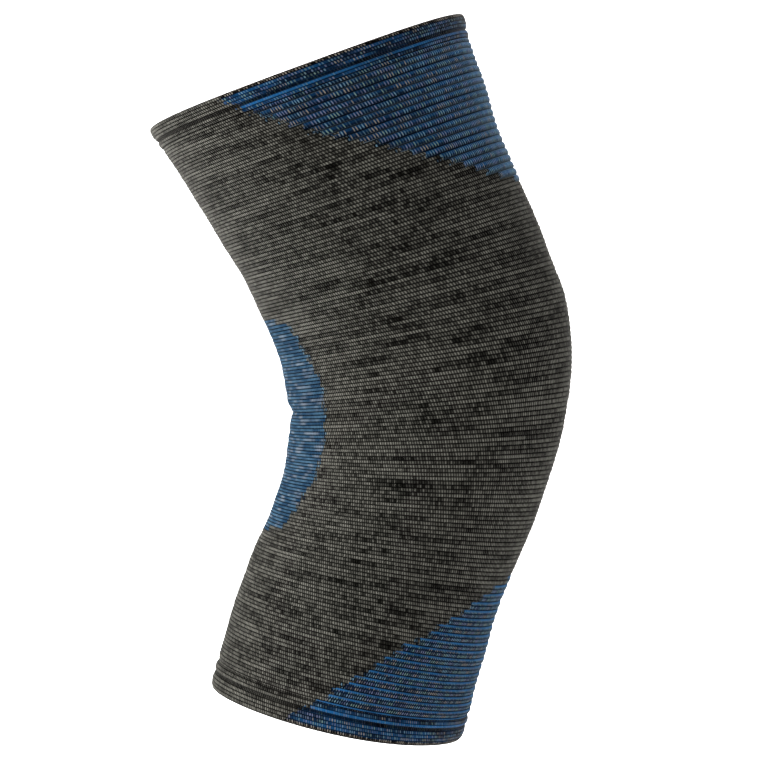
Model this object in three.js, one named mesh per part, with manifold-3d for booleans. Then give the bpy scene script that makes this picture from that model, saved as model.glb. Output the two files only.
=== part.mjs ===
// A pull-on knitted knee sleeve, held in the form that a bent knee gives it.
// Millimetres, +Z up, +X the front of the knee, Y from side to side. The origin is the knee's centre.
// The sleeve is one knitted tube. Its yarn and stitch change in zones, and each zone is a piece here.

import * as THREE from 'three';
import { mergeVertices } from 'three/addons/utils/BufferGeometryUtils.js';
import Module from 'manifold-3d';

const { clamp, degToRad, lerp } = THREE.MathUtils;
const wasm = await Module();
wasm.setup();

// Leg lengths run from the knee's centre to the middle of each rim
const THIGH_LENGTH = 153.0;
const SHIN_LENGTH = 150.6;

// Degrees that the thigh and the shin lean back from the vertical
const THIGH_LEAN = 24.5;
const SHIN_LEAN = 15.8;

// Radius of the bend that joins the two straight stretches of the leg's axis
const BEND_RADIUS = 100;

// Degrees that the two rims tilt: the thigh rim rises and the calf rim drops towards the front
const THIGH_TILT = 20.2;
const SHIN_TILT = 13.0;

// How far the sides of a rim hang below its front and back
const SIDE_SAG = 2.4;

// Depth is front to back and width is side to side, over the outside of the knit
const THIGH_DEPTH = 150;
const KNEE_DEPTH = 130;
const CALF_DEPTH = 115;
const THIGH_WIDTH = 142;
const KNEE_WIDTH = 114;
const CALF_WIDTH = 110;

// The knit, its doubled hems and the clearance between two zones
const WALL = 2.0;
const HEM_WALL = 3.2;
const THIGH_HEM = 10.3;
const CALF_HEM = 11.2;
const HEM_RELIEF = 1.2;
const GAP = 0.3;

// Raised courses of the two blue panels
const RIB_HEIGHT = 0.8;
const THIGH_RIB_PITCH = 3.1;
const SHIN_RIB_PITCH = 3.3;

// The crease across the hollow of the knee
const CREASE_DEPTH = 2.0;
const CREASE_REACH = 8.0;
const CREASE_PLACE = -0.028;
const CREASE_HALF_ANGLE = 65;

// Fineness of the faceted surfaces
const COLUMNS = 40;
const OUTER_STEP = 9.5;
const INNER_STEP = 16;
const CREASE_STEP = 3.2;

// Sections of the leg, from the calf rim to the thigh rim.
// along: share of the shin's length when negative, of the thigh's when positive.
// tilt: share of SHIN_TILT when negative, of THIGH_TILT when positive.
// deep, wide: 0 has the knee's depth or width, and 1 has the calf's or the thigh's.
// front: share of the section's depth that lies in front of the leg's axis.
// sag: share of SIDE_SAG.
const SECTIONS = [
  { along: -1.00, tilt: -0.92, deep: 0.97, wide: 1.00, front: 0.482, sag: 1.0 },
  { along: -0.93, tilt: -0.96, deep: 0.94, wide: 1.05, front: 0.482, sag: 0.6 },
  { along: -0.75, tilt: -1.00, deep: 1.00, wide: 0.90, front: 0.481, sag: 0.0 },
  { along: -0.58, tilt: -0.83, deep: 1.09, wide: 0.80, front: 0.492, sag: 0.0 },
  { along: -0.42, tilt: -0.52, deep: 0.94, wide: 0.80, front: 0.517, sag: 0.0 },
  { along: -0.28, tilt: -0.21, deep: 0.73, wide: 0.70, front: 0.532, sag: 0.0 },
  { along: -0.15, tilt: 0.07, deep: 0.44, wide: 0.40, front: 0.532, sag: 0.0 },
  { along: 0.00, tilt: 0.31, deep: 0.14, wide: 0.05, front: 0.543, sag: 0.0 },
  { along: 0.10, tilt: 0.45, deep: 0.04, wide: 0.00, front: 0.551, sag: 0.0 },
  { along: 0.20, tilt: 0.59, deep: 0.06, wide: 0.04, front: 0.563, sag: 0.2 },
  { along: 0.35, tilt: 0.75, deep: 0.09, wide: 0.16, front: 0.571, sag: 0.6 },
  { along: 0.50, tilt: 0.86, deep: 0.13, wide: 0.32, front: 0.568, sag: 0.9 },
  { along: 0.65, tilt: 0.93, deep: 0.27, wide: 0.50, front: 0.561, sag: 1.0 },
  { along: 0.80, tilt: 0.97, deep: 0.52, wide: 0.72, front: 0.558, sag: 1.0 },
  { along: 0.93, tilt: 0.99, deep: 0.78, wide: 0.91, front: 0.552, sag: 1.0 },
  { along: 1.00, tilt: 1.00, deep: 1.00, wide: 1.00, front: 0.551, sag: 1.0 },
];

// Borders of the zones, seen from the side. Both sides of the leg are alike.
// across: -1 at the back of the leg, 0 on its axis and 1 at the front, or more beyond the knit.
const THIGH_BORDER = [
  { along: 0.511, across: 1.35 },
  { along: 0.515, across: 1.00 },
  { along: 0.548, across: 0.86 },
  { along: 0.598, across: 0.72 },
  { along: 0.657, across: 0.53 },
  { along: 0.738, across: 0.28 },
  { along: 0.810, across: 0.04 },
  { along: 0.880, across: -0.18 },
  { along: 0.955, across: -0.37 },
  { along: 0.999, across: -0.48 },
  { along: 0.999, across: 1.35 },
];
const SHIN_BORDER = [
  { along: -0.508, across: 1.35 },
  { along: -0.512, across: 1.00 },
  { along: -0.547, across: 0.85 },
  { along: -0.613, across: 0.68 },
  { along: -0.695, across: 0.43 },
  { along: -0.787, across: 0.15 },
  { along: -0.855, across: -0.02 },
  { along: -0.927, across: -0.21 },
  { along: -0.999, across: -0.42 },
  { along: -0.999, across: 1.35 },
];
const HOLLOW_BORDER = [
  { along: 0.325, across: -1.35 },
  { along: 0.322, across: -0.93 },
  { along: 0.295, across: -0.82 },
  { along: 0.188, across: -0.77 },
  { along: 0.090, across: -0.71 },
  { along: -0.145, across: -0.705 },
  { along: -0.265, across: -0.74 },
  { along: -0.387, across: -0.80 },
  { along: -0.450, across: -0.85 },
  { along: -0.475, across: -0.96 },
  { along: -0.478, across: -1.35 },
];

// Outer face and lining of a hem from the rim down. down: share of the hem's height.
// rise: share of HEM_RELIEF, from the leg's surface outside and from the hem's wall inside.
const HEM_FACE = [
  { down: 0.00, rise: -0.60 },
  { down: 0.10, rise: 0.05 },
  { down: 0.32, rise: 0.25 },
  { down: 0.52, rise: -0.05 },
  { down: 0.60, rise: -0.75 },
  { down: 0.68, rise: 0.00 },
  { down: 0.80, rise: 0.20 },
  { down: 0.92, rise: -0.05 },
  { down: 1.00, rise: -0.60 },
];
const HEM_LINING = [
  { down: 0.00, rise: 0.60 },
  { down: 0.10, rise: 0.00 },
  { down: 0.50, rise: 0.00 },
  { down: 1.00, rise: 0.00 },
];

function rowSize(row) {
  const thigh = row.along > 0;
  const endDepth = thigh ? THIGH_DEPTH : CALF_DEPTH;
  const endWidth = thigh ? THIGH_WIDTH : CALF_WIDTH;
  const depth = KNEE_DEPTH + row.deep * (endDepth - KNEE_DEPTH);
  return {
    along: row.along,
    tilt: row.tilt * (row.tilt > 0 ? THIGH_TILT : SHIN_TILT),
    front: depth * row.front,
    back: depth * (1 - row.front),
    side: (KNEE_WIDTH + row.wide * (endWidth - KNEE_WIDTH)) / 2,
    sag: row.sag * SIDE_SAG,
  };
}

const SIZES = SECTIONS.map(rowSize);

// A smooth curve through one column of the sections, with each row's slope taken from its neighbours
function column(name, along) {
  const last = SIZES.length - 1;
  let k = 0;
  while (k < last - 1 && SIZES[k + 1].along < along) k += 1;
  const low = SIZES[k];
  const high = SIZES[k + 1];
  const span = high.along - low.along;
  const slope = (a, b) => (SIZES[b][name] - SIZES[a][name]) / (SIZES[b].along - SIZES[a].along);
  const slopeLow = slope(Math.max(k - 1, 0), k + 1) * span;
  const slopeHigh = slope(k, Math.min(k + 2, last)) * span;
  const t = clamp((along - low.along) / span, 0, 1);
  const rest = 1 - t;
  return rest * rest * (1 + 2 * t) * low[name] + rest * rest * t * slopeLow
    + t * t * (3 - 2 * t) * high[name] - t * t * rest * slopeHigh;
}

function legLength(along) {
  return along > 0 ? THIGH_LENGTH : SHIN_LENGTH;
}

// Millimetres from the knee to a place along the leg, negative down the shin
function legReach(along) {
  return along * legLength(along);
}

// Directions of the two straight stretches away from the knee, in the side view
const THIGH_WAY = new THREE.Vector2(0, 1).rotateAround(new THREE.Vector2(), degToRad(THIGH_LEAN));
const SHIN_WAY = new THREE.Vector2(0, -1).rotateAround(new THREE.Vector2(), degToRad(-SHIN_LEAN));

// The bend between them: an arc that starts and ends BEND_START away from where they would cross
const HALF_BEND = degToRad((THIGH_LEAN + SHIN_LEAN) / 2);
const BEND_START = BEND_RADIUS * Math.tan(HALF_BEND);
const BEND_INWARD = THIGH_WAY.clone().add(SHIN_WAY).normalize();
const BEND_CENTRE = BEND_INWARD.clone().multiplyScalar(BEND_RADIUS / Math.cos(HALF_BEND));

// Middle of the leg in the side view
function axisPoint(along) {
  const reach = legReach(along);
  if (reach > BEND_START) return THIGH_WAY.clone().multiplyScalar(reach);
  if (reach < -BEND_START) return SHIN_WAY.clone().multiplyScalar(-reach);
  const middle = BEND_CENTRE.clone().addScaledVector(BEND_INWARD, -BEND_RADIUS);
  return middle.rotateAround(BEND_CENTRE, HALF_BEND * reach / BEND_START);
}

// Direction towards the front of the leg within a section
function forwardWay(along) {
  return new THREE.Vector2(1, 0).rotateAround(new THREE.Vector2(), degToRad(column('tilt', along)));
}

// How far the crease pulls the knit in: sharp across the back and fading round the sides
function creaseDepth(along, angle) {
  const away = Math.abs(along - CREASE_PLACE) * legLength(along);
  const fromBack = Math.abs(180 - angle);
  if (away > CREASE_REACH || fromBack > CREASE_HALF_ANGLE) return 0;
  const fade = Math.cos((fromBack / CREASE_HALF_ANGLE) * Math.PI / 2);
  return CREASE_DEPTH * fade * (1 - away / CREASE_REACH) ** 2;
}

// Point of the outer surface moved out by rise. The angle runs round the leg from the front.
function legPoint(along, angle, rise) {
  const turn = degToRad(angle);
  const ahead = column(Math.cos(turn) > 0 ? 'front' : 'back', along);
  const side = column('side', along);
  const outward = new THREE.Vector2(Math.cos(turn) / ahead, Math.sin(turn) / side).normalize();
  outward.multiplyScalar(rise - creaseDepth(along, angle));
  const middle = axisPoint(along);
  const { x, y } = middle.addScaledVector(forwardWay(along), ahead * Math.cos(turn) + outward.x);
  return [x, side * Math.sin(turn) + outward.y, y - column('sag', along) * Math.sin(turn) ** 2];
}

// Closed wall round the leg from a closed profile, which runs up the outside and down the inside
function wallAround(profile) {
  const positions = [];
  const faces = [];
  for (const { along, rise } of profile) {
    for (let j = 0; j < COLUMNS; j += 1) positions.push(...legPoint(along, 360 * j / COLUMNS, rise));
  }
  for (let i = 0; i < profile.length; i += 1) {
    const above = (i + 1) % profile.length;
    for (let j = 0; j < COLUMNS; j += 1) {
      const next = (j + 1) % COLUMNS;
      const [a, b] = [i * COLUMNS + j, i * COLUMNS + next];
      const [c, d] = [above * COLUMNS + next, above * COLUMNS + j];
      faces.push(a, b, c, a, c, d);
    }
  }
  return asSolid(positions, faces);
}

function asSolid(positions, faces) {
  const mesh = new wasm.Mesh({
    numProp: 3,
    vertProperties: Float32Array.from(positions),
    triVerts: Uint32Array.from(faces),
  });
  return new wasm.Manifold(mesh);
}

// Places along the leg from one share to another, about step millimetres apart
function stations(from, to, step) {
  const count = Math.max(1, Math.round(Math.abs(legReach(to) - legReach(from)) / step));
  return Array.from({ length: count + 1 }, (_, i) => lerp(from, to, i / count));
}

// The same places with more of them near the crease, and one on its bottom
function stationsWithCrease(from, to, step) {
  const near = CREASE_REACH / SHIN_LENGTH;
  const [low, high] = [CREASE_PLACE - near, CREASE_PLACE + near];
  return [
    ...stations(from, low, step),
    ...stations(low, CREASE_PLACE, CREASE_STEP).slice(1),
    ...stations(CREASE_PLACE, high, CREASE_STEP).slice(1),
    ...stations(high, to, step).slice(1),
  ];
}

// The plain knitted wall between two places
function smoothWall(from, to) {
  const outside = stationsWithCrease(from, to, OUTER_STEP).map((along) => ({ along, rise: 0 }));
  const inside = stationsWithCrease(from, to, INNER_STEP).map((along) => ({ along, rise: -WALL }));
  return wallAround([...outside, ...inside.reverse()]);
}

// A wall whose raised courses lie a rib's pitch apart
function ribbedWall(from, to, pitch) {
  const outside = stations(from, to, pitch / 2).map((along, i) => {
    const rise = i % 2 === 1 ? RIB_HEIGHT / 2 : -RIB_HEIGHT / 2;
    return { along, rise };
  });
  const inside = stations(from, to, INNER_STEP).map((along) => ({ along, rise: -WALL }));
  return wallAround([...outside, ...inside.reverse()]);
}

// A doubled hem at the rim of the thigh (end 1) or of the calf (end -1)
function hem(end, height) {
  const row = (down, rise) => ({ along: end * (1 - down * height / legLength(end)), rise });
  const face = HEM_FACE.map(({ down, rise }) => row(down, rise * HEM_RELIEF));
  const lining = HEM_LINING.map(({ down, rise }) => row(down, rise * HEM_RELIEF - HEM_WALL));
  const profile = [...face, ...lining.reverse()];
  return wallAround(end > 0 ? profile.reverse() : profile);
}

// Corner of a zone in the side view
function sidePoint({ along, across }) {
  const forward = across * column(across > 0 ? 'front' : 'back', along);
  const point = axisPoint(along).addScaledVector(forwardWay(along), forward);
  point.y -= column('sag', along) * Math.max(0, 1 - across ** 2);
  return point;
}

// The outline moved outwards everywhere by the same amount, less at its sharpest corners
const MITRE_LIMIT = 0.4;

function grown(outline, amount) {
  const turnsLeft = THREE.ShapeUtils.area(outline) > 0;
  return outline.map((point, i) => {
    const before = outline[(i + outline.length - 1) % outline.length];
    const after = outline[(i + 1) % outline.length];
    const into = point.clone().sub(before).normalize();
    const away = after.clone().sub(point).normalize();
    const bisector = into.clone().add(away).normalize();
    const outward = new THREE.Vector2(bisector.y, -bisector.x).multiplyScalar(turnsLeft ? 1 : -1);
    return point.clone().addScaledVector(outward, amount / Math.max(MITRE_LIMIT, bisector.dot(into)));
  });
}

// Zone cut from side to side through the whole leg, and grown by a clearance where it cuts a hole
function zone(border, clearance) {
  const outline = border.map(sidePoint);
  const breadth = 2 * Math.max(THIGH_WIDTH, KNEE_WIDTH, CALF_WIDTH);
  const shape = new THREE.Shape(grown(outline, clearance));
  const block = new THREE.ExtrudeGeometry(shape, { depth: breadth, bevelEnabled: false });
  block.rotateX(Math.PI / 2);
  block.translate(0, breadth / 2, 0);
  return fromGeometry(block);
}

// Solid from a closed geometry, with the corners that its faces share made one
function fromGeometry(geometry) {
  geometry.deleteAttribute('normal');
  geometry.deleteAttribute('uv');
  const merged = mergeVertices(geometry);
  return asSolid(merged.getAttribute('position').array, merged.index.array);
}

// The plain knit runs between the two hems
const KNIT_TOP = 1 - (THIGH_HEM + GAP) / THIGH_LENGTH;
const KNIT_BOTTOM = -1 + (CALF_HEM + GAP) / SHIN_LENGTH;

function knitBody() {
  return smoothWall(KNIT_BOTTOM, KNIT_TOP)
    .subtract(zone(THIGH_BORDER, GAP))
    .subtract(zone(SHIN_BORDER, GAP))
    .subtract(zone(HOLLOW_BORDER, GAP));
}

function thighPanel() {
  const below = THIGH_BORDER[0].along - THIGH_RIB_PITCH / THIGH_LENGTH;
  return ribbedWall(below, KNIT_TOP, THIGH_RIB_PITCH).intersect(zone(THIGH_BORDER, 0));
}

function shinPanel() {
  const above = SHIN_BORDER[0].along + SHIN_RIB_PITCH / SHIN_LENGTH;
  return ribbedWall(KNIT_BOTTOM, above, SHIN_RIB_PITCH).intersect(zone(SHIN_BORDER, 0));
}

function kneeHollowPanel() {
  return smoothWall(KNIT_BOTTOM, KNIT_TOP).intersect(zone(HOLLOW_BORDER, 0));
}

function knit(color) {
  return new THREE.MeshStandardMaterial({ color, roughness: 0.95, metalness: 0 });
}

const GREY_KNIT = knit(0x3d3c38);
const BLUE_RIB = knit(0x26405f);
const PALE_BLUE_RIB = knit(0x35506d);
const HOLLOW_KNIT = knit(0x536677);
const HEM_KNIT = knit(0x2b4a72);

const sleeve = new THREE.Group();

function addPiece(name, solid, material) {
  const { vertProperties, triVerts } = solid.getMesh();
  const geometry = new THREE.BufferGeometry();
  geometry.setAttribute('position', new THREE.BufferAttribute(vertProperties, 3));
  geometry.setIndex(new THREE.BufferAttribute(triVerts, 1));
  geometry.computeVertexNormals();
  const mesh = new THREE.Mesh(geometry, material);
  mesh.name = name;
  sleeve.add(mesh);
}

addPiece('knit_body', knitBody(), GREY_KNIT);
addPiece('thigh_panel', thighPanel(), BLUE_RIB);
addPiece('shin_panel', shinPanel(), PALE_BLUE_RIB);
addPiece('knee_hollow_panel', kneeHollowPanel(), HOLLOW_KNIT);
addPiece('top_welt', hem(1, THIGH_HEM), HEM_KNIT);
addPiece('bottom_welt', hem(-1, CALF_HEM), HEM_KNIT);

export default sleeve;
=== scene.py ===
# A pull-on knitted knee sleeve in the form that a bent knee gives it: knit, hems, yarns, floor and light.
# Metres, +Z up, +X the front of the knee, Y from side to side, as in the frame.

import math

import bpy
import numpy as np
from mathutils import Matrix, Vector


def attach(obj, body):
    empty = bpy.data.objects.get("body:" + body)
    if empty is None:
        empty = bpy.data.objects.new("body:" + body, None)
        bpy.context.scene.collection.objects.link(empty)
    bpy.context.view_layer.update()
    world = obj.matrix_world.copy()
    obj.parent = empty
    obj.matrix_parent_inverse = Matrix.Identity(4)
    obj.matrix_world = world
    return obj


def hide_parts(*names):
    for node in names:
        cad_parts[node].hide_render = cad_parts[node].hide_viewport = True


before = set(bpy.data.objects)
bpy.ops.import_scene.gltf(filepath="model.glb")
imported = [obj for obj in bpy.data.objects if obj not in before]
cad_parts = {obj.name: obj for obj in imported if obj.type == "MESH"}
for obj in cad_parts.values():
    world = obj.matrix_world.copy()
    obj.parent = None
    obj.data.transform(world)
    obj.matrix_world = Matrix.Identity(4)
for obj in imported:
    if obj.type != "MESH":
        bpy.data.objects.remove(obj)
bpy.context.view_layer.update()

# The photograph, and the camera that it was taken with: level with the knee, straight from the side
PHOTO_WIDTH = 769
PHOTO_HEIGHT = 768
METRES_PER_PIXEL = 0.00045
KNEE_PIXEL = (431.9, 390.0)
HORIZON_PIXEL = (384.5, 300.0)
CAMERA_DISTANCE = 1.25
SENSOR_WIDTH = 36.0


def make_camera():
    data = bpy.data.cameras.new("camera")
    data.sensor_width = SENSOR_WIDTH
    data.lens = SENSOR_WIDTH * CAMERA_DISTANCE / (PHOTO_WIDTH * METRES_PER_PIXEL)
    data.clip_start = 0.01
    data.clip_end = 30.0
    camera = bpy.data.objects.new("camera", data)
    bpy.context.scene.collection.objects.link(camera)
    across = (HORIZON_PIXEL[0] - KNEE_PIXEL[0]) * METRES_PER_PIXEL
    up = (KNEE_PIXEL[1] - HORIZON_PIXEL[1]) * METRES_PER_PIXEL
    centre_up = (KNEE_PIXEL[1] - PHOTO_HEIGHT / 2) * METRES_PER_PIXEL
    camera.location = (across, -CAMERA_DISTANCE, up)
    look = Vector((across, 0.0, centre_up)) - camera.location
    camera.rotation_euler = look.to_track_quat("-Z", "Y").to_euler()
    bpy.context.scene.camera = camera


# The leg, with the sizes that the frame was built to

# Lengths from the knee's centre to the middle of each rim, and degrees that each part leans back
THIGH_LENGTH = 0.153
SHIN_LENGTH = 0.1506
THIGH_LEAN = 24.5
SHIN_LEAN = 15.8
BEND_RADIUS = 0.1

# Degrees that the rims tilt, and how far their sides hang below their front and back
THIGH_TILT = 20.2
SHIN_TILT = 13.0
SIDE_SAG = 0.0024

# Depth is front to back and width is side to side
THIGH_DEPTH = 0.150
KNEE_DEPTH = 0.130
CALF_DEPTH = 0.115
THIGH_WIDTH = 0.142
KNEE_WIDTH = 0.114
CALF_WIDTH = 0.110

# The knit and its doubled hems
WALL = 0.002
HEM_WALL = 0.0032
THIGH_HEM = 0.0103
CALF_HEM = 0.0112
HEM_RELIEF = 0.0012

# Sections from the calf rim to the thigh rim: along and tilt are shares of the shin's values when
# negative and of the thigh's when positive, deep and wide run from the knee's size at 0 to the
# rim's at 1, front is the share of the depth before the axis, and sag is a share of SIDE_SAG.
SECTION_COLUMNS = ("along", "tilt", "deep", "wide", "front", "sag")
SECTIONS = [
    (-1.00, -0.92, 0.97, 1.00, 0.482, 1.0),
    (-0.93, -0.96, 0.94, 1.05, 0.482, 0.6),
    (-0.75, -1.00, 1.00, 0.90, 0.481, 0.0),
    (-0.58, -0.83, 1.09, 0.80, 0.492, 0.0),
    (-0.42, -0.52, 0.94, 0.80, 0.517, 0.0),
    (-0.28, -0.21, 0.73, 0.70, 0.532, 0.0),
    (-0.15, 0.07, 0.44, 0.40, 0.532, 0.0),
    (0.00, 0.31, 0.14, 0.05, 0.543, 0.0),
    (0.10, 0.45, 0.04, 0.00, 0.551, 0.0),
    (0.20, 0.59, 0.06, 0.04, 0.563, 0.2),
    (0.35, 0.75, 0.09, 0.16, 0.571, 0.6),
    (0.50, 0.86, 0.13, 0.32, 0.568, 0.9),
    (0.65, 0.93, 0.27, 0.50, 0.561, 1.0),
    (0.80, 0.97, 0.52, 0.72, 0.558, 1.0),
    (0.93, 0.99, 0.78, 0.91, 0.552, 1.0),
    (1.00, 1.00, 1.00, 1.00, 0.551, 1.0),
]

# Borders of the zones: how far round the leg each reaches, as the cosine of the angle from the front
THIGH_BORDER = [
    (0.511, 1.00), (0.548, 0.86), (0.598, 0.72), (0.657, 0.53), (0.738, 0.28),
    (0.810, 0.04), (0.880, -0.18), (0.955, -0.37), (0.999, -0.48),
]
SHIN_BORDER = [
    (-0.508, 1.00), (-0.547, 0.85), (-0.613, 0.68), (-0.695, 0.43), (-0.787, 0.15),
    (-0.855, -0.02), (-0.927, -0.21), (-0.999, -0.42),
]
HOLLOW_BORDER = [
    (0.325, -0.97), (0.322, -0.93), (0.295, -0.82), (0.188, -0.77), (0.090, -0.71),
    (-0.145, -0.705), (-0.265, -0.74), (-0.387, -0.80), (-0.450, -0.85), (-0.475, -0.96), (-0.478, -0.99),
]

# Courses and ribs for each whole length of thigh or shin, at places along the leg
COURSES = [
    (-1.00, 102.0), (-0.88, 100.0), (-0.72, 88.5), (-0.40, 88.0), (-0.08, 81.5),
    (0.24, 82.0), (0.56, 89.0), (0.72, 97.0), (0.88, 105.0), (1.00, 106.0),
]
THIGH_RIBS = [(0.50, 50.0), (0.72, 53.0), (0.88, 57.0), (1.00, 58.0)]
SHIN_RIBS = [(-1.00, 46.0), (-0.88, 45.0), (-0.72, 43.0), (-0.50, 43.0)]

# Wales round the leg, and the fineness of the modelled surface
WALES = 340
COLUMNS = 144
ROWS_PER_COURSE = 4
COURSES_PER_BAND = 2

# Heights of the knit's relief
COURSE_HEIGHT = 0.00026
THIGH_RIB_HEIGHT = 0.00072
SHIN_RIB_HEIGHT = 0.00055
HOLLOW_COURSE_HEIGHT = 0.00018
UNEVENNESS = 0.00012
UNDULATION = 0.0005

# The crease across the hollow of the knee, and the smaller folds beside it
CREASE_DEPTH = 0.002
CREASE_REACH = 0.008
CREASE_PLACE = -0.028
CREASE_HALF_ANGLE = 65.0
FOLD_DEPTH = 0.0003
FOLD_SPACING = 0.0075
FOLD_REACH = 0.034

# Slow swells of the cloth: waves round the leg, radians along it for a whole thigh or shin, and phase
SWELLS = ((2, 9.0, 0.4), (3, -14.0, 2.1), (5, 21.0, 4.0), (4, 33.0, 1.2))

# How far a band's end may wander from the border, in degrees, and the seed of all random draws
BAND_JITTER = 0.9
SEED = 7

# Outer face of a hem from the rim down: down is a share of its height, rise a share of HEM_RELIEF
HEM_FACE = [
    (0.00, -0.20), (0.10, 0.12), (0.32, 0.25), (0.52, -0.05), (0.60, -0.75),
    (0.68, 0.00), (0.80, 0.20), (0.92, -0.05), (1.00, -0.60),
]
# Share of a hem's height down to its middle groove, which gets painted shade in the hem's colour
HEM_GROOVE = 0.6
HEM_COURSE_HEIGHT = 0.00016
HEM_ROWS = 40

# The fold over the rim, the lining inside it, and the knit drawn in beside a hem. Shares are of HEM_RELIEF.
FOLD_BULGE = 0.0007
FOLD_ROWS = 6
LINING_ROWS = 5
LINING_SHARE = 0.6
TUCK_SHARE = 0.6

# Places along the leg at which courses and ribs are counted, and the angle of an edge that stays sharp
COUNTED_PLACES = 8001
SHARP_ANGLE = 65.0

BODY, THIGH, SHIN, HOLLOW = range(4)
TURN = 2 * math.pi


def section_sizes():
    """The sections' columns in metres and degrees."""
    table = dict(zip(SECTION_COLUMNS, np.array(SECTIONS).T))
    thigh = table["along"] > 0
    depth = KNEE_DEPTH + table["deep"] * (np.where(thigh, THIGH_DEPTH, CALF_DEPTH) - KNEE_DEPTH)
    width = KNEE_WIDTH + table["wide"] * (np.where(thigh, THIGH_WIDTH, CALF_WIDTH) - KNEE_WIDTH)
    return {
        "along": table["along"],
        "tilt": table["tilt"] * np.where(table["tilt"] > 0, THIGH_TILT, SHIN_TILT),
        "front": depth * table["front"],
        "back": depth * (1 - table["front"]),
        "side": width / 2,
        "sag": table["sag"] * SIDE_SAG,
    }


SIZES = section_sizes()


def column(name, along):
    """A smooth curve through one column of the sections."""
    places = SIZES["along"]
    values = SIZES[name]
    last = len(places) - 1
    k = np.clip(np.searchsorted(places, along, side="left") - 1, 0, last - 1)
    before = np.maximum(k - 1, 0)
    after = np.minimum(k + 2, last)
    span = places[k + 1] - places[k]
    slope_low = (values[k + 1] - values[before]) / (places[k + 1] - places[before]) * span
    slope_high = (values[after] - values[k]) / (places[after] - places[k]) * span
    t = np.clip((along - places[k]) / span, 0, 1)
    rest = 1 - t
    return (rest * rest * (1 + 2 * t) * values[k] + rest * rest * t * slope_low
            + t * t * (3 - 2 * t) * values[k + 1] - t * t * rest * slope_high)


def leg_length(along):
    return np.where(along > 0, THIGH_LENGTH, SHIN_LENGTH)


# The axis in the side view: two straight stretches joined by an arc
THIGH_WAY = np.array([-math.sin(math.radians(THIGH_LEAN)), math.cos(math.radians(THIGH_LEAN))])
SHIN_WAY = np.array([-math.sin(math.radians(SHIN_LEAN)), -math.cos(math.radians(SHIN_LEAN))])
HALF_BEND = math.radians((THIGH_LEAN + SHIN_LEAN) / 2)
BEND_START = BEND_RADIUS * math.tan(HALF_BEND)
BEND_INWARD = (THIGH_WAY + SHIN_WAY) / np.linalg.norm(THIGH_WAY + SHIN_WAY)
BEND_CENTRE = BEND_INWARD * BEND_RADIUS / math.cos(HALF_BEND)


def axis_point(along):
    reach = along * leg_length(along)
    turn = np.clip(reach, -BEND_START, BEND_START) / BEND_START * HALF_BEND
    start = -BEND_INWARD * BEND_RADIUS
    x = BEND_CENTRE[0] + start[0] * np.cos(turn) - start[1] * np.sin(turn)
    z = BEND_CENTRE[1] + start[0] * np.sin(turn) + start[1] * np.cos(turn)
    up = np.maximum(reach - BEND_START, 0)
    down = np.maximum(-reach - BEND_START, 0)
    return x + up * THIGH_WAY[0] + down * SHIN_WAY[0], z + up * THIGH_WAY[1] + down * SHIN_WAY[1]


def leg_points(along, angle, rise):
    """Points of the leg's surface moved out by rise. The angle, in radians, runs round from the front."""
    along, angle, rise = np.broadcast_arrays(along, angle, rise)
    ahead = np.where(np.cos(angle) > 0, column("front", along), column("back", along))
    side = column("side", along)
    normal_x = np.cos(angle) / ahead
    normal_y = np.sin(angle) / side
    size = np.hypot(normal_x, normal_y)
    forward = ahead * np.cos(angle) + rise * normal_x / size
    across = side * np.sin(angle) + rise * normal_y / size
    tilt = np.radians(column("tilt", along))
    x, z = axis_point(along)
    sag = column("sag", along) * np.sin(angle) ** 2
    return np.stack([x + np.cos(tilt) * forward, across, z + np.sin(tilt) * forward - sag], axis=-1)


def counter(table, start):
    """A function that counts courses or ribs from start, and the one that finds a count's place."""
    places = np.linspace(-1, 1, COUNTED_PLACES)
    density = np.interp(places, *np.array(table).T)
    count = np.concatenate([[0], np.cumsum((density[1:] + density[:-1]) / 2 * np.diff(places))])
    count -= np.interp(start, places, count)

    def count_at(along):
        return np.interp(along, places, count)

    def along_at(number):
        return np.interp(number, count, places)

    return count_at, along_at


course_at, along_at_course = counter(COURSES, -1.0)
thigh_rib_at, along_at_thigh_rib = counter(THIGH_RIBS, THIGH_BORDER[0][0])
shin_rib_at, along_at_shin_rib = counter(SHIN_RIBS, SHIN_BORDER[0][0])


def nearest_row(along):
    return int(round(float(course_at(along)) * ROWS_PER_COURSE))


def half_angle(border, along):
    """Degrees from the front at which a border crosses one height of the leg."""
    places, cosines = np.array(sorted(border)).T
    return math.degrees(math.acos(np.clip(np.interp(along, places, cosines), -1, 1)))


ROW_COUNT = nearest_row(1.0)
BOTTOM_ROW = nearest_row(-1 + CALF_HEM / SHIN_LENGTH)
TOP_ROW = nearest_row(1 - THIGH_HEM / THIGH_LENGTH)
ROW_ALONG = along_at_course(np.arange(ROW_COUNT + 1) / ROWS_PER_COURSE)
COLUMN_ANGLE = np.arange(COLUMNS) * TURN / COLUMNS
COLUMN_MIDDLE = (COLUMN_ANGLE + math.pi / COLUMNS + math.pi) % TURN - math.pi
draws = np.random.default_rng(SEED)


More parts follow.
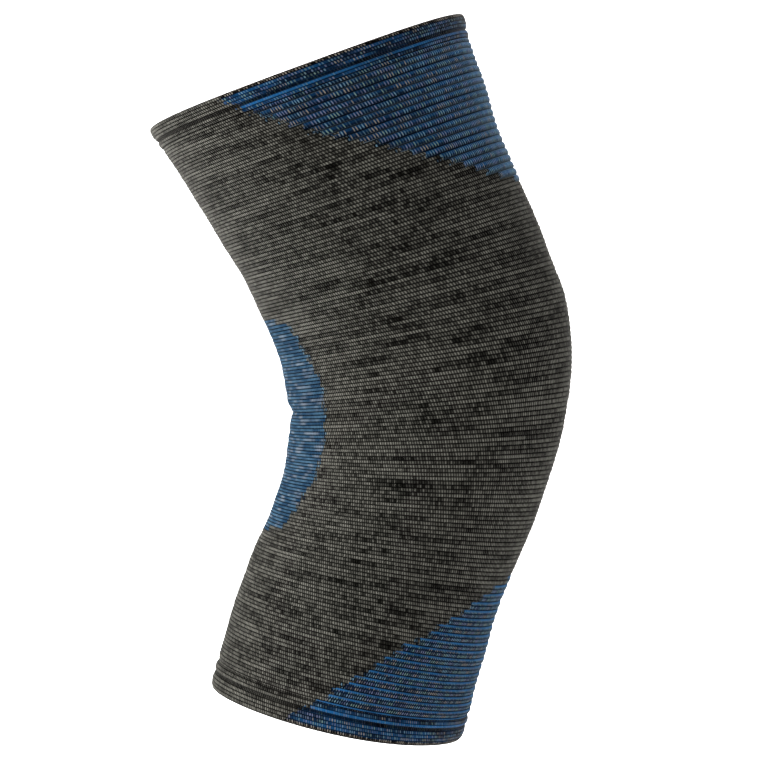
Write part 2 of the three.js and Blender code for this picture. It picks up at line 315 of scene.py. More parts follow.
def make_bands():
    """Bands of courses from hem to hem, each with its zone and how far round the leg the zone reaches."""
    stops = {BOTTOM_ROW: BODY, TOP_ROW: BODY}
    rib = 0
    while nearest_row(along_at_shin_rib(-rib)) > BOTTOM_ROW + 1:
        stops[nearest_row(along_at_shin_rib(-rib))] = BODY
        rib += 1
    rib = 0
    while nearest_row(along_at_thigh_rib(rib)) < TOP_ROW - 1:
        stops[nearest_row(along_at_thigh_rib(rib))] = BODY
        rib += 1
    step = ROWS_PER_COURSE * COURSES_PER_BAND
    low = nearest_row(along_at_shin_rib(0))
    high = nearest_row(along_at_thigh_rib(0))
    for row in range(low + step, high - step // 2, step):
        stops[row] = BODY
    stops = sorted(stops)
    bands = []
    for start, end in zip(stops[:-1], stops[1:]):
        middle = float(along_at_course((start + end) / 2 / ROWS_PER_COURSE))
        zone, reach = BODY, 0.0
        if middle > THIGH_BORDER[0][0]:
            zone, reach = THIGH, half_angle(THIGH_BORDER, middle)
        elif middle < SHIN_BORDER[0][0]:
            zone, reach = SHIN, half_angle(SHIN_BORDER, middle)
        elif HOLLOW_BORDER[-1][0] < middle < HOLLOW_BORDER[0][0]:
            zone, reach = HOLLOW, 180 - half_angle(HOLLOW_BORDER, middle)
        ends = reach + draws.uniform(-BAND_JITTER, BAND_JITTER, 2)
        bands.append({"start": start, "end": end, "zone": zone, "left": ends[0], "right": ends[1]})
    return bands


BANDS = make_bands()


def degrees_inside(band, angle):
    """How far inside its zone's end each angle lies in a band, in degrees."""
    if band["zone"] == BODY:
        return np.full(np.shape(angle), -90.0)
    turned = angle if band["zone"] != HOLLOW else angle + math.pi
    turned = np.degrees((turned + math.pi) % TURN - math.pi)
    return np.where(turned > 0, band["left"], band["right"]) - np.abs(turned)


def crease_depth(along, angle):
    """The crease behind the knee and the shallow folds on both sides of it."""
    away = np.abs(along - CREASE_PLACE) * leg_length(along)
    from_back = np.abs(180 - np.degrees(angle % TURN))
    fade = np.cos(np.clip(from_back / CREASE_HALF_ANGLE, 0, 1) * math.pi / 2)
    crease = CREASE_DEPTH * np.clip(1 - away / CREASE_REACH, 0, 1) ** 2
    folds = FOLD_DEPTH * (0.5 - 0.5 * np.cos(TURN * away / FOLD_SPACING))
    return (crease + folds * np.clip(1 - away / FOLD_REACH, 0, 1)) * fade


def undulation(along, angle):
    """Slow swells of the cloth, the sum of a few waves that close round the leg."""
    swell = np.zeros(np.broadcast(along, angle).shape)
    for round_leg, up_leg, phase in SWELLS:
        swell = swell + np.sin(round_leg * angle + up_leg * along + phase)
    return swell / len(SWELLS)


def zone_relief(zone, along):
    """Height of the courses or ribs of one zone over the leg's surface."""
    if zone == THIGH:
        share = thigh_rib_at(along) % 1
        return THIGH_RIB_HEIGHT * (0.5 - np.abs(2 * share - 1) ** 3)
    if zone == SHIN:
        share = shin_rib_at(along) % 1
        return SHIN_RIB_HEIGHT * (0.5 - np.abs(2 * share - 1) ** 3)
    height = HOLLOW_COURSE_HEIGHT if zone == HOLLOW else COURSE_HEIGHT
    share = course_at(along) % 1
    return height * (0.5 - (2 * share - 1) ** 2)


def cell_zones():
    """The zone of each cell between two band edges and two columns."""
    zones = np.full((len(BANDS), COLUMNS), BODY)
    for k, band in enumerate(BANDS):
        zones[k][degrees_inside(band, COLUMN_MIDDLE) > 0] = band["zone"]
    return zones


CELL_ZONES = cell_zones()


def row_bands():
    """The band that each row of the knit between the hems belongs to."""
    found = np.zeros(ROW_COUNT + 1, int)
    for k, band in enumerate(BANDS):
        found[band["start"]:band["end"]] = k
    found[TOP_ROW:] = len(BANDS) - 1
    return found


ROW_BANDS = row_bands()


def outer_surface():
    """Points of the knit's outside, row by row from the calf rim to the thigh rim."""
    along = ROW_ALONG[:, None]
    angle = COLUMN_ANGLE[None, :]
    relief = np.stack([np.broadcast_to(zone_relief(zone, along), (ROW_COUNT + 1, COLUMNS))
                       for zone in (BODY, THIGH, SHIN, HOLLOW)])
    zones = CELL_ZONES[ROW_BANDS]
    rise = np.take_along_axis(relief, zones[None], axis=0)[0]
    courses = np.arange(ROW_COUNT + 1) // ROWS_PER_COURSE
    uneven = draws.normal(0, UNEVENNESS, courses.max() + 1)
    rise = rise + uneven[courses][:, None] / 2
    rise = rise + UNDULATION * undulation(along, angle) - crease_depth(along, angle)
    from_hem = np.minimum(np.arange(ROW_COUNT + 1) - BOTTOM_ROW, TOP_ROW - np.arange(ROW_COUNT + 1))
    tuck = np.exp(-np.maximum(from_hem, 0) / ROWS_PER_COURSE) * HEM_RELIEF * TUCK_SHARE
    return leg_points(along, angle, rise - tuck[:, None])


def ring_numbers(along, angle):
    """Attribute that places every point in the knit: wales round a circle, and its course."""
    radius = WALES / TURN
    along, angle = np.broadcast_arrays(along, angle)
    return np.stack([radius * np.cos(angle), radius * np.sin(angle), course_at(along)], axis=-1)


def zone_rib(zone, along):
    if zone == THIGH:
        return thigh_rib_at(along)
    if zone == SHIN:
        return -shin_rib_at(along)
    return course_at(along) / COURSES_PER_BAND


def make_object(name, points, faces, attributes, material):
    """A mesh object with per-point attributes. Faces are groups of rows with the same corner count."""
    mesh = bpy.data.meshes.new(name)
    corners = [face for group in faces for face in group.tolist()]
    mesh.from_pydata(points.tolist(), [], corners)
    for key, values in attributes.items():
        kind = "FLOAT" if values.ndim == 1 else "FLOAT_VECTOR"
        attribute = mesh.attributes.new(key, kind, "POINT")
        field = "value" if values.ndim == 1 else "vector"
        attribute.data.foreach_set(field, values.astype(np.float32).ravel())
    mesh.polygons.foreach_set("use_smooth", [True] * len(corners))
    mesh.set_sharp_from_angle(angle=math.radians(SHARP_ANGLE))
    mesh.materials.append(material)
    mesh.validate()
    piece = bpy.data.objects.new(name, mesh)
    bpy.context.scene.collection.objects.link(piece)
    return piece


def zone_piece(name, zone, outer, material):
    """A closed shell of the knit over one zone: its outside, a coarser lining, and the edges between."""
    mask = CELL_ZONES == zone
    stops = np.array([band["start"] for band in BANDS] + [BANDS[-1]["end"]])
    after = (np.arange(COLUMNS) + 1) % COLUMNS
    outer_number = np.arange(outer.shape[0] * COLUMNS).reshape(-1, COLUMNS)
    inner_number = outer_number.size + np.arange(len(stops) * COLUMNS).reshape(-1, COLUMNS)
    quads, triangles = [], []
    for k, band in enumerate(BANDS):
        inside = np.flatnonzero(mask[k])
        for row in range(band["start"], band["end"]):
            low, high = outer_number[row], outer_number[row + 1]
            quads.append(np.stack([low[inside], low[after[inside]], high[after[inside]], high[inside]], 1))
        low, high = inner_number[k], inner_number[k + 1]
        quads.append(np.stack([low[after[inside]], low[inside], high[inside], high[after[inside]]], 1))
        below = mask[k - 1] if k > 0 else np.zeros(COLUMNS, bool)
        above = mask[k + 1] if k < len(BANDS) - 1 else np.zeros(COLUMNS, bool)
        row = band["start"]
        edge = np.flatnonzero(mask[k] & ~below)
        quads.append(np.stack([outer_number[row][after[edge]], outer_number[row][edge],
                               inner_number[k][edge], inner_number[k][after[edge]]], 1))
        row = band["end"]
        edge = np.flatnonzero(mask[k] & ~above)
        quads.append(np.stack([outer_number[row][edge], outer_number[row][after[edge]],
                               inner_number[k + 1][after[edge]], inner_number[k + 1][edge]], 1))
        starts = np.flatnonzero(mask[k] & ~np.roll(mask[k], 1))
        ends = after[np.flatnonzero(mask[k] & ~np.roll(mask[k], -1))]
        middle = (band["start"] + band["end"]) // 2
        for cut, flip in [(j, False) for j in starts] + [(j, True) for j in ends]:
            fan = [(outer_number[row, cut], outer_number[row + 1, cut],
                    inner_number[k + (row >= middle), cut]) for row in range(band["start"], band["end"])]
            fan.append((outer_number[middle, cut], inner_number[k + 1, cut], inner_number[k, cut]))
            triangles.extend([face[::-1] if flip else face for face in fan])
    quads = np.concatenate(quads)
    triangles = np.array(triangles)
    inner_along = ROW_ALONG[stops][:, None]
    inner_angle = COLUMN_ANGLE[None, :]
    inner = leg_points(inner_along, inner_angle, -WALL - crease_depth(inner_along, inner_angle))
    points = np.concatenate([outer.reshape(-1, 3), inner.reshape(-1, 3)])
    along = np.concatenate([np.repeat(ROW_ALONG, COLUMNS), np.repeat(ROW_ALONG[stops], COLUMNS)])
    angle = np.concatenate([np.tile(COLUMN_ANGLE, outer.shape[0]), np.tile(COLUMN_ANGLE, len(stops))])
    bands_of = np.concatenate([np.repeat(ROW_BANDS, COLUMNS),
                               np.repeat(np.append(np.arange(len(BANDS)), len(BANDS) - 1), COLUMNS)])
    edge = np.empty(len(points))
    for k, band in enumerate(BANDS):
        own = bands_of == k
        edge[own] = degrees_inside(band, angle[own]) * WALES / 360
    attributes = {"ring": ring_numbers(along, angle), "rib": zone_rib(zone, along), "edge": edge}
    used, renumbered = np.unique(np.concatenate([quads.ravel(), triangles.ravel()]), return_inverse=True)
    faces = [renumbered[:quads.size].reshape(-1, 4), renumbered[quads.size:].reshape(-1, 3)]
    attributes = {key: values[used] for key, values in attributes.items()}
    return make_object(name, points[used], faces, attributes, material)


def smooth_through(places, values, at):
    """A curve through the values that eases in and out between each two of them."""
    k = np.clip(np.searchsorted(places, at, side="right") - 1, 0, len(places) - 2)
    t = (at - places[k]) / (places[k + 1] - places[k])
    return values[k] + (values[k + 1] - values[k]) * t * t * (3 - 2 * t)


def hem_piece(name, end, height, material):
    """A doubled hem at the thigh rim (end 1) or the calf rim (end -1): face, fold and lining in a ring."""
    length = THIGH_LENGTH if end > 0 else SHIN_LENGTH
    down = np.linspace(1, 0, HEM_ROWS + 1)
    places, rises = np.array(HEM_FACE).T
    face_along = end * (1 - down * height / length)
    ridges = HEM_COURSE_HEIGHT * (0.5 - (2 * (course_at(face_along) % 1) - 1) ** 2)
    face_rise = smooth_through(places, rises, down) * HEM_RELIEF + ridges
    rim_out = face_rise[-1]
    rim_in = -HEM_WALL + LINING_SHARE * HEM_RELIEF
    turn = np.linspace(0, math.pi, FOLD_ROWS + 2)[1:-1]
    fold_along = end * (1 + np.sin(turn) * FOLD_BULGE / length)
    fold_rise = (rim_out + rim_in) / 2 + np.cos(turn) * (rim_out - rim_in) / 2
    lining_down = np.linspace(0, 1, LINING_ROWS)
    lining_along = end * (1 - lining_down * height / length)
    lining_rise = np.where(lining_down == 0, rim_in, -HEM_WALL)
    along = np.concatenate([face_along, fold_along, lining_along])
    rise = np.concatenate([face_rise, fold_rise, lining_rise])
    share = np.concatenate([down, np.zeros(FOLD_ROWS), lining_down])
    waves = UNDULATION * undulation(along[:, None], COLUMN_ANGLE[None, :])
    points = leg_points(along[:, None], COLUMN_ANGLE[None, :], rise[:, None] + waves)
    number = np.arange(len(along) * COLUMNS).reshape(-1, COLUMNS)
    low, high = number, np.roll(number, -1, axis=0)
    faces = np.stack([low, np.roll(low, -1, 1), np.roll(high, -1, 1), high], -1).reshape(-1, 4)
    if end < 0:
        faces = faces[:, ::-1]
    border = THIGH_BORDER if end > 0 else SHIN_BORDER
    reach = np.array([half_angle(border, place) for place in along])
    turned = np.degrees((COLUMN_ANGLE + math.pi) % TURN - math.pi)
    edge = ((reach[:, None] - np.abs(turned)) * WALES / 360).ravel()
    count = course_at(np.clip(along, -1, 1)) + (np.abs(along) > 1) * end
    ring = ring_numbers(along[:, None], COLUMN_ANGLE[None, :]).reshape(-1, 3)
    ring[:, 2] = np.repeat(count, COLUMNS)
    attributes = {"ring": ring, "rib": np.repeat(share, COLUMNS), "edge": edge}
    return make_object(name, points.reshape(-1, 3), [faces], attributes, material)


def linear(red, green, blue):
    """A colour as a red, green and blue from 0 to 255, made linear."""
    parts = [c / 255 for c in (red, green, blue)]
    return tuple(c / 12.92 if c <= 0.04045 else ((c + 0.055) / 1.055) ** 2.4 for c in parts) + (1.0,)


# How the columns of stitches waver, how far the noise moves from row to row, and the yarn's shine
WAVER_SCALE = 0.11
WAVER_WALES = 1.6
ROW_STEP = 5.37
KNIT_ROUGHNESS = 0.88
SHEEN_ROUGHNESS = 0.3

# Depth of the finest relief, which is in the materials
STITCH_BUMP = 0.00028
RIB_BUMP = 0.0005


class Shader:
    """A material's nodes, with each step written as a call."""

    def __init__(self, name):
        self.material = bpy.data.materials.new(name)
        self.material.use_nodes = True
        self.tree = self.material.node_tree
        self.tree.nodes.clear()

    def node(self, kind, **settings):
        made = self.tree.nodes.new(kind)
        for key, value in settings.items():
            setattr(made, key, value)
        return made

    def feed(self, socket, value):
        if isinstance(value, bpy.types.NodeSocket):
            self.tree.links.new(value, socket)
        else:
            socket.default_value = value

    def math(self, operation, *values):
        made = self.node("ShaderNodeMath", operation=operation)
        for socket, value in zip(made.inputs, values):
            self.feed(socket, value)
        return made.outputs[0]

    def add(self, a, b):
        return self.math("ADD", a, b)

    def times(self, a, b):
        return self.math("MULTIPLY", a, b)

    def weighted(self, first, *others):
        """The sum of pairs of a value and its weight."""
        total = self.times(*first)
        for pair in others:
            total = self.add(total, self.times(*pair))
        return total

    def smooth(self, value, low, high, to_low=0.0, to_high=1.0):
        made = self.node("ShaderNodeMapRange", interpolation_type="SMOOTHSTEP")
        for socket, given in zip(made.inputs, (value, low, high, to_low, to_high)):
            self.feed(socket, given)
        return made.outputs[0]

    def mix(self, share, low, high):
        made = self.node("ShaderNodeMix", data_type="RGBA")
        self.feed(made.inputs[0], share)
        self.feed(made.inputs[6], low)
        self.feed(made.inputs[7], high)
        return made.outputs[2]

    def blend(self, share, low, high):
        """One number between two others."""
        made = self.node("ShaderNodeMix", data_type="FLOAT")
        self.feed(made.inputs[0], share)
        self.feed(made.inputs[2], low)
        self.feed(made.inputs[3], high)
        return made.outputs[0]

    def vector(self, x, y, z):
        made = self.node("ShaderNodeCombineXYZ")
        for socket, value in zip(made.inputs, (x, y, z)):
            self.feed(socket, value)
        return made.outputs[0]

    def noise(self, vector, scale, detail):
        made = self.node("ShaderNodeTexNoise")
        self.feed(made.inputs["Vector"], vector)
        self.feed(made.inputs["Scale"], scale)
        self.feed(made.inputs["Detail"], detail)
        return made.outputs["Fac"]

    def chance(self, x, y, z):
        """A random number that is the same all over one cell."""
        made = self.node("ShaderNodeTexWhiteNoise", noise_dimensions="3D")
        self.feed(made.inputs["Vector"], self.vector(x, y, z))
        return made.outputs["Value"]

    def attribute(self, name):
        return self.node("ShaderNodeAttribute", attribute_name=name)


class Knit(Shader):
    """Nodes that every knitted zone shares: where a point lies in the knit, and its stitch's shape."""

    def __init__(self, name):
        super().__init__(name)
        split = self.node("ShaderNodeSeparateXYZ")
        self.feed(split.inputs[0], self.attribute("ring").outputs["Vector"])
        self.ring_x, self.ring_y, self.course = split.outputs
        place = self.attribute("ring").outputs["Vector"]
        waver = self.times(self.add(self.noise(place, WAVER_SCALE, 2.0), -0.5), WAVER_WALES)
        angle = self.math("ARCTAN2", self.ring_y, self.ring_x)
        self.wale = self.add(self.times(angle, WALES / TURN), waver)
        self.rib = self.attribute("rib").outputs["Fac"]
        self.edge = self.attribute("edge").outputs["Fac"]
        self.wale_cell = self.math("FLOOR", self.wale)
        self.course_cell = self.math("FLOOR", self.course)

    def run(self, row, across, seed):
        """Melange of one yarn: it changes slowly along a row and freshly from row to row."""
        place = self.vector(self.times(self.ring_x, across), self.times(self.ring_y, across),
                            self.add(self.times(row, ROW_STEP), seed))
        return self.noise(place, 1.0, 1.5)

    def stitch(self, row, row_cell, slant, narrow, tall, softness, stagger):
        """Height of an upright oval stitch in its cell, from 0 in the gaps to 1 on its crown."""
        up = self.add(self.math("SUBTRACT", row, row_cell), -0.5)
        leaning = self.add(self.wale, self.times(up, slant))
        leaning = self.add(leaning, self.times(self.math("MODULO", row_cell, 2.0), stagger))
        self.wale_cell = self.math("FLOOR", leaning)
        across = self.add(self.math("FRACT", leaning), -0.5)
        width = self.math("POWER", self.math("ABSOLUTE", self.times(across, 2 * narrow)), 2.0)
        height = self.math("POWER", self.math("ABSOLUTE", self.times(up, 2 * tall)), 3.0)
        return self.smooth(self.add(width, height), 1.0, softness)

    def groove(self, row, row_cell, width):
        """0 in the groove between two rows and 1 away from it."""
        up = self.math("ABSOLUTE", self.add(self.math("SUBTRACT", row, row_cell), -0.5))
        return self.smooth(up, 0.5, 0.5 - width)

    def cell(self, row_cell, seed):
        return self.chance(self.wale_cell, row_cell, seed)

    def finish(self, colour, height, bump, sheen, tint):
        shader = self.node("ShaderNodeBsdfPrincipled")
        self.feed(shader.inputs["Base Color"], colour)
        shader.inputs["Roughness"].default_value = KNIT_ROUGHNESS
        shader.inputs["Specular IOR Level"].default_value = 0.0
        shader.inputs["Sheen Weight"].default_value = sheen
        shader.inputs["Sheen Roughness"].default_value = SHEEN_ROUGHNESS
        shader.inputs["Sheen Tint"].default_value = tint
        relief = self.node("ShaderNodeBump")
        relief.inputs["Strength"].default_value = 1.0
        relief.inputs["Distance"].default_value = bump
        self.feed(relief.inputs["Height"], height)
        self.feed(shader.inputs["Normal"], relief.outputs[0])
        out = self.node("ShaderNodeOutputMaterial")
        self.feed(out.inputs["Surface"], shader.outputs[0])
        return self.material


# Yarn colours
GREY_DARK = linear(16, 16, 13)
GREY_LIGHT = linear(104, 103, 96)
# Near-black of the gaps between stitches, also used for the painted shade in the hem's grooves
GREY_GAP = linear(1, 1, 1)
BLUE_DEEP = linear(4, 14, 28)
BLUE_BRIGHT = linear(14, 50, 83)
BLUE_LINE = linear(22, 68, 108)
BLUE_SOFT = linear(78, 104, 120)
BLUE_GAP = linear(1, 3, 6)
LAVENDER = linear(82, 87, 110)
GREEN_GREY = linear(84, 104, 100)
BROWN_GREY = linear(104, 98, 91)
PALE_BLUE = linear(46, 70, 88)
STEEL_BLUE = linear(18, 40, 60)
WHITISH = linear(114, 118, 124)
GREY_FUZZ = (1.0, 0.96, 0.9, 1.0)
BLUE_FUZZ = (0.6, 0.82, 1.0, 1.0)

# How far a stitch leans, how narrow and short it is in its cell, where its height levels off from its
# rim to its crown, and how far every other row is moved along
GREY_STITCH = {"slant": 0.4, "narrow": 1.68, "tall": 1.08, "softness": -0.1, "stagger": 0.5}
THIGH_STITCH = {"slant": 0.5, "narrow": 1.75, "tall": 1.12, "softness": -0.1, "stagger": 0.5}
SHIN_STITCH = {"slant": 0.3, "narrow": 1.6, "tall": 1.05, "softness": -0.1, "stagger": 0.5}
HOLLOW_STITCH = {"slant": 0.1, "narrow": 0.85, "tall": 1.1, "softness": 0.1, "stagger": 0.0}
HEM_STITCH = {"slant": 0.3, "narrow": 1.5, "tall": 1.05, "softness": 0.0, "stagger": 0.5}
STRAY_STITCH = {"slant": 0.25, "narrow": 1.4, "tall": 1.08, "softness": 0.0, "stagger": 0.5}


def grey_yarn(knit):
    """Grey melange: dark and light runs along the courses, and stitches of uneven brightness."""
    stitch = knit.stitch(knit.course, knit.course_cell, **GREY_STITCH)
    long_runs = knit.run(knit.course_cell, across=0.042, seed=3.0)
    pair_cell = knit.math("FLOOR", knit.times(knit.course, 0.5))
    pair_runs = knit.run(pair_cell, across=0.07, seed=27.0)
    short_runs = knit.run(knit.course_cell, across=0.3, seed=11.0)
    patches = knit.noise(knit.vector(knit.ring_x, knit.ring_y, knit.course), 0.06, 2.0)
    single = knit.cell(knit.course_cell, seed=5.0)
    tone = knit.weighted(
        (long_runs, 1.6), (short_runs, 0.8), (pair_runs, 0.4), (patches, 0.2), (single, 0.6))
    tone = knit.smooth(tone, 1.14, 2.46)
    yarn = knit.mix(tone, GREY_DARK, GREY_LIGHT)
    ground = knit.times(knit.groove(knit.course, knit.course_cell, 0.24), 0.2)
    return knit.mix(knit.math("MAXIMUM", stitch, ground), GREY_GAP, yarn), stitch


def tinted(knit, row_cell, seed):
    """The pale flecks in a blue zone: soft blue, lavender, green-grey or brown-grey."""
    hue = knit.run(row_cell, across=0.22, seed=seed)
    fleck = knit.mix(knit.smooth(hue, 0.46, 0.54), BLUE_SOFT, LAVENDER)
    other = knit.run(row_cell, across=0.27, seed=seed + 4.0)
    fleck = knit.mix(knit.smooth(other, 0.52, 0.6), fleck, GREEN_GREY)
    third = knit.run(row_cell, across=0.25, seed=seed + 9.0)
    return knit.mix(knit.smooth(third, 0.55, 0.63), fleck, BROWN_GREY)


def thigh_yarn(knit):
    """Wide blue ribs, brighter near their upper edge, with pale stitches on them and grooves between. The
    bright strip grows towards the front of the leg, a painted highlight for the front edge's sheen.
    """
    rib_cell = knit.math("FLOOR", knit.rib)
    share = knit.math("FRACT", knit.rib)
    dash = knit.stitch(knit.rib, rib_cell, **THIGH_STITCH)
    single = knit.cell(rib_cell, seed=2.0)
    runs = knit.run(rib_cell, across=0.25, seed=8.0)
    bright = knit.smooth(knit.add(runs, knit.times(single, 0.8)), 0.3, 1.25)
    steady = knit.smooth(knit.run(rib_cell, across=0.12, seed=31.0), 0.3, 0.6, 0.45)
    strip_with_painted_sheen = knit.times(knit.smooth(share, 0.3, 0.62), steady)
    # Painted highlight: the bright strip is weak round the sides and full towards the front of the leg,
    # standing in for the sheen along the front edge
    front = WALES / TURN
    strip_with_painted_sheen = knit.times(strip_with_painted_sheen, knit.smooth(knit.ring_x, 0.3 * front, front, 0.45, 1.7))
    ground = knit.mix(strip_with_painted_sheen, BLUE_DEEP, BLUE_BRIGHT)
    yarn = knit.mix(knit.times(dash, bright), ground, tinted(knit, rib_cell, 21.0))
    groove = knit.groove(knit.rib, rib_cell, 0.16)
    height = knit.times(groove, knit.add(knit.times(dash, 0.4), 0.6))
    return knit.mix(groove, BLUE_GAP, yarn), height


def shin_yarn(knit):
    """Thin bright-blue courses over dark ones, with two rows of pale flecks to a rib."""
    rib_cell = knit.math("FLOOR", knit.rib)
    share = knit.math("SUBTRACT", 1.0, knit.math("FRACT", knit.rib))
    half_rib = knit.times(knit.rib, 2.0)
    half_cell = knit.math("FLOOR", half_rib)
    dash = knit.stitch(half_rib, half_cell, **SHIN_STITCH)
    single = knit.cell(half_cell, seed=2.0)
    runs = knit.run(half_cell, across=0.15, seed=8.0)
    bright = knit.smooth(knit.add(runs, knit.times(single, 0.9)), 0.25, 1.25)
    line = knit.times(knit.smooth(share, 0.66, 0.78), knit.smooth(share, 1.0, 0.93))
    steady = knit.smooth(knit.run(rib_cell, across=0.15, seed=31.0), 0.3, 0.65, 0.55)
    ground = knit.mix(knit.times(line, steady), BLUE_DEEP, BLUE_LINE)
    flecks = knit.times(knit.times(dash, bright), knit.add(knit.times(line, -0.7), 1.0))
    yarn = knit.mix(flecks, ground, tinted(knit, half_cell, 21.0))
    groove = knit.groove(knit.rib, rib_cell, 0.1)
    height = knit.times(groove, knit.add(knit.times(dash, 0.4), knit.times(line, 0.6)))
    return knit.mix(groove, BLUE_GAP, yarn), height


def hollow_yarn(knit):
    """Pale blue courses, each lighter or darker than the next, with whitish runs and dark lines between."""
    stitch = knit.stitch(knit.course, knit.course_cell, **HOLLOW_STITCH)
    streak = knit.run(knit.course_cell, across=0.1, seed=3.0)
    runs = knit.run(knit.course_cell, across=0.2, seed=17.0)
    tone = knit.smooth(knit.add(streak, knit.times(runs, 0.6)), 0.6, 1.05)
    yarn = knit.mix(tone, STEEL_BLUE, PALE_BLUE)
    whitish = knit.smooth(knit.run(knit.course_cell, across=0.14, seed=41.0), 0.5, 0.72)
    yarn = knit.mix(knit.times(whitish, 0.42), yarn, WHITISH)
    return knit.mix(knit.add(knit.times(stitch, 0.94), 0.06), BLUE_GAP, yarn), stitch


def hem_yarn(knit):
    """The blue part of a hem: dashed courses, a thin bright course in its lower band, a grey-brown rim."""
    dash = knit.stitch(knit.course, knit.course_cell, **HEM_STITCH)
    runs = knit.run(knit.course_cell, across=0.2, seed=8.0)
    single = knit.cell(knit.course_cell, seed=2.0)
    bright = knit.smooth(knit.add(runs, knit.times(single, 0.8)), 0.45, 1.4)
    base = knit.smooth(knit.run(knit.course_cell, across=0.08, seed=6.0), 0.4, 0.65)
    ground = knit.mix(knit.times(base, 0.7), BLUE_DEEP, BLUE_BRIGHT)
    line = knit.times(knit.smooth(knit.rib, 0.66, 0.71), knit.smooth(knit.rib, 0.82, 0.75))
    line_row = 4.0
    steady = knit.smooth(knit.run(line_row, across=0.1, seed=31.0), 0.3, 0.65, 0.5)
    ground = knit.mix(knit.times(line, knit.times(steady, 0.75)), ground, BLUE_LINE)
    flecks = knit.times(knit.times(dash, bright), knit.add(knit.times(line, -0.4), 0.8))
    yarn = knit.mix(flecks, ground, tinted(knit, knit.course_cell, 21.0))
    groove = knit.groove(knit.course, knit.course_cell, 0.16)
    rim = knit.smooth(knit.rib, 0.13, 0.06)
    rim_yarn = knit.mix(knit.times(dash, bright), GREY_GAP, BROWN_GREY)
    yarn = knit.mix(rim, yarn, rim_yarn)
    height = knit.times(groove, knit.add(knit.times(dash, 0.5), 0.5))
    return knit.mix(groove, BLUE_GAP, yarn), height


def painted_hem_groove_shade(knit):
    """Painted shade: 1 in a hem's two grooves, half-way down and where it meets the knit, where the colour
    is darkened.
    """
    middle = knit.smooth(knit.math("ABSOLUTE", knit.add(knit.rib, -HEM_GROOVE)), 0.07, 0.03)
    return knit.math("MAXIMUM", middle, knit.smooth(knit.rib, 0.93, 0.98))


def knit_material(name, zone_yarn, bump, sheen, tint):
    """A zone's yarn inside its border and grey yarn outside it, with a few stitches of each mixed in."""
    knit = Knit(name)
    grey, grey_height = grey_yarn(knit)
    colour, height = zone_yarn(knit)
    stray = knit.add(knit.times(knit.edge, 0.28), knit.cell(knit.course_cell, seed=77.0))
    inside = knit.math("GREATER_THAN", stray, 0.5)
    colour = knit.mix(inside, grey, colour)
    height = knit.blend(inside, grey_height, height)
    # Painted shade: the hem's grooves are darkened towards near-black
    if zone_yarn is hem_yarn:
        colour = knit.mix(knit.times(painted_hem_groove_shade(knit), 0.8), colour, GREY_GAP)
    return knit.finish(colour, height, bump, sheen, tint)


def plain_blue_yarn(knit):
    """The few blue stitches that a border leaves in the grey knit."""
    stitch = knit.stitch(knit.course, knit.course_cell, **STRAY_STITCH)
    yarn = knit.mix(knit.cell(knit.course_cell, seed=5.0), BLUE_DEEP, BLUE_SOFT)
    return knit.mix(stitch, BLUE_GAP, yarn), stitch


def declare(piece, node):
    """Every zone is a stretched sheet of knit that stands for its solid."""
    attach(piece, "root")
    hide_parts(node)


def make_sleeve():
    outer = outer_surface()
    grey = knit_material("grey_melange_knit", plain_blue_yarn, STITCH_BUMP, sheen=0.12, tint=GREY_FUZZ)
    thigh = knit_material("thigh_rib_knit", thigh_yarn, RIB_BUMP, sheen=0.2, tint=BLUE_FUZZ)
    shin = knit_material("shin_rib_knit", shin_yarn, RIB_BUMP, sheen=0.14, tint=BLUE_FUZZ)
    hollow = knit_material("hollow_knit", hollow_yarn, STITCH_BUMP, sheen=0.08, tint=BLUE_FUZZ)
    hem = knit_material("hem_knit", hem_yarn, STITCH_BUMP, sheen=0.12, tint=GREY_FUZZ)
    body = zone_piece("grey_body", BODY, outer, grey)
    thigh_panel = zone_piece("ribbed_thigh_panel", THIGH, outer, thigh)
    shin_panel = zone_piece("ribbed_shin_panel", SHIN, outer, shin)
    hollow_panel = zone_piece("hollow_patch", HOLLOW, outer, hollow)
    top = hem_piece("thigh_hem", 1, THIGH_HEM, hem)
    bottom = hem_piece("calf_hem", -1, CALF_HEM, hem)
    declare(body, "knit_body")
    declare(thigh_panel, "thigh_panel")
    declare(shin_panel, "shin_panel")
    declare(hollow_panel, "knee_hollow_panel")
    declare(top, "top_welt")
    declare(bottom, "bottom_welt")


# A pale floor that curves up behind the object, and the two soft lights and white world that light them
FLOOR_HEIGHT = -0.42
FLOOR_HALF = 4.0
BACKDROP_PLACE = 1.6
BACKDROP_CURVE = 0.8
BACKDROP_TOP = 3.0
BACKDROP_STEPS = 16
FLOOR_COLOUR = (0.97, 0.97, 0.97, 1.0)
KEY_LIGHT = {"place": (-2.2, -0.4, 1.3), "size": 1.5, "power": 192}
EDGE_LIGHT = {"place": (0.9, 1.8, 0.9), "size": 0.7, "power": 55}
WORLD_COLOUR = (1.0, 1.0, 1.0, 1.0)
WORLD_STRENGTH = 1.03


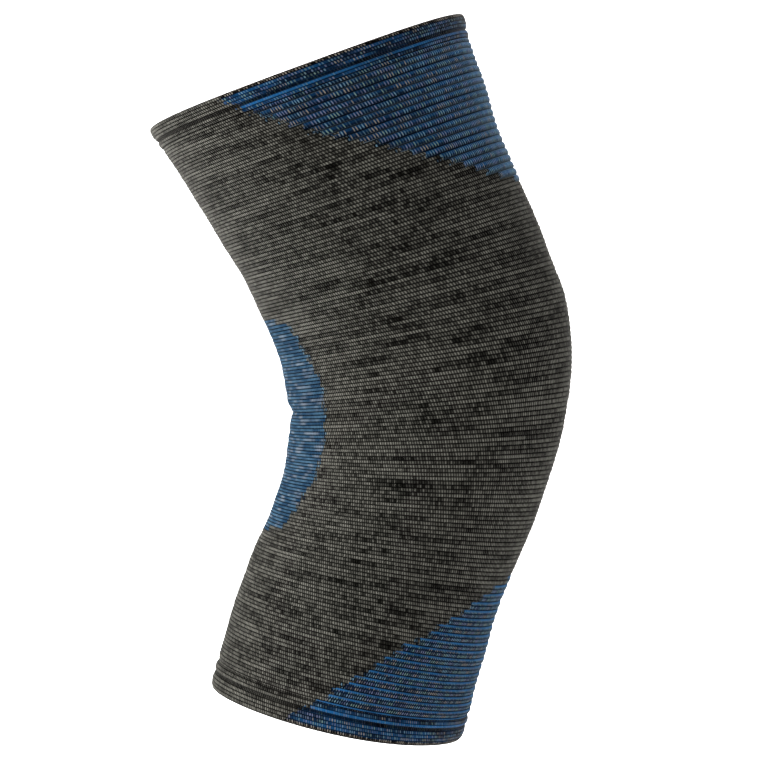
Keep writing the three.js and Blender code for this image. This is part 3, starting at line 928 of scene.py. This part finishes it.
def backdrop_profile():
    """Floor, curve and wall in the side view, as points (y, z)."""
    flat = [(-FLOOR_HALF, FLOOR_HEIGHT)]
    turns = np.linspace(0, math.pi / 2, BACKDROP_STEPS + 1)
    curve = [(BACKDROP_PLACE + BACKDROP_CURVE * math.sin(turn),
              FLOOR_HEIGHT + BACKDROP_CURVE * (1 - math.cos(turn))) for turn in turns]
    return flat + curve + [(BACKDROP_PLACE + BACKDROP_CURVE, BACKDROP_TOP)]


def make_floor():
    pale = Shader("pale_floor")
    shader = pale.node("ShaderNodeBsdfPrincipled")
    shader.inputs["Base Color"].default_value = FLOOR_COLOUR
    shader.inputs["Roughness"].default_value = 1.0
    out = pale.node("ShaderNodeOutputMaterial")
    pale.feed(out.inputs["Surface"], shader.outputs[0])
    profile = backdrop_profile()
    points = np.array([(x, y, z) for y, z in profile for x in (-FLOOR_HALF, FLOOR_HALF)])
    low = np.arange(len(profile) - 1) * 2
    faces = np.stack([low, low + 1, low + 3, low + 2], 1)
    mesh = bpy.data.meshes.new("floor")
    mesh.from_pydata(points.tolist(), [], faces.tolist())
    mesh.polygons.foreach_set("use_smooth", [True] * len(faces))
    mesh.materials.append(pale.material)
    floor = bpy.data.objects.new("floor", mesh)
    bpy.context.scene.collection.objects.link(floor)


def make_light(name, place, size, power):
    """A square light that faces the knee's centre and isn't seen itself."""
    data = bpy.data.lights.new(name, "AREA")
    data.size = size
    data.energy = power
    light = bpy.data.objects.new(name, data)
    bpy.context.scene.collection.objects.link(light)
    light.location = place
    look = -Vector(place)
    light.rotation_euler = look.to_track_quat("-Z", "Y").to_euler()
    light.visible_camera = False


def make_lights():
    world = bpy.data.worlds.new("studio")
    world.use_nodes = True
    background = world.node_tree.nodes["Background"]
    background.inputs["Color"].default_value = WORLD_COLOUR
    background.inputs["Strength"].default_value = WORLD_STRENGTH
    bpy.context.scene.world = world
    make_light("key", **KEY_LIGHT)
    make_light("edge", **EDGE_LIGHT)


bpy.context.scene.view_settings.view_transform = "Standard"
make_camera()
make_sleeve()
make_floor()
make_lights()
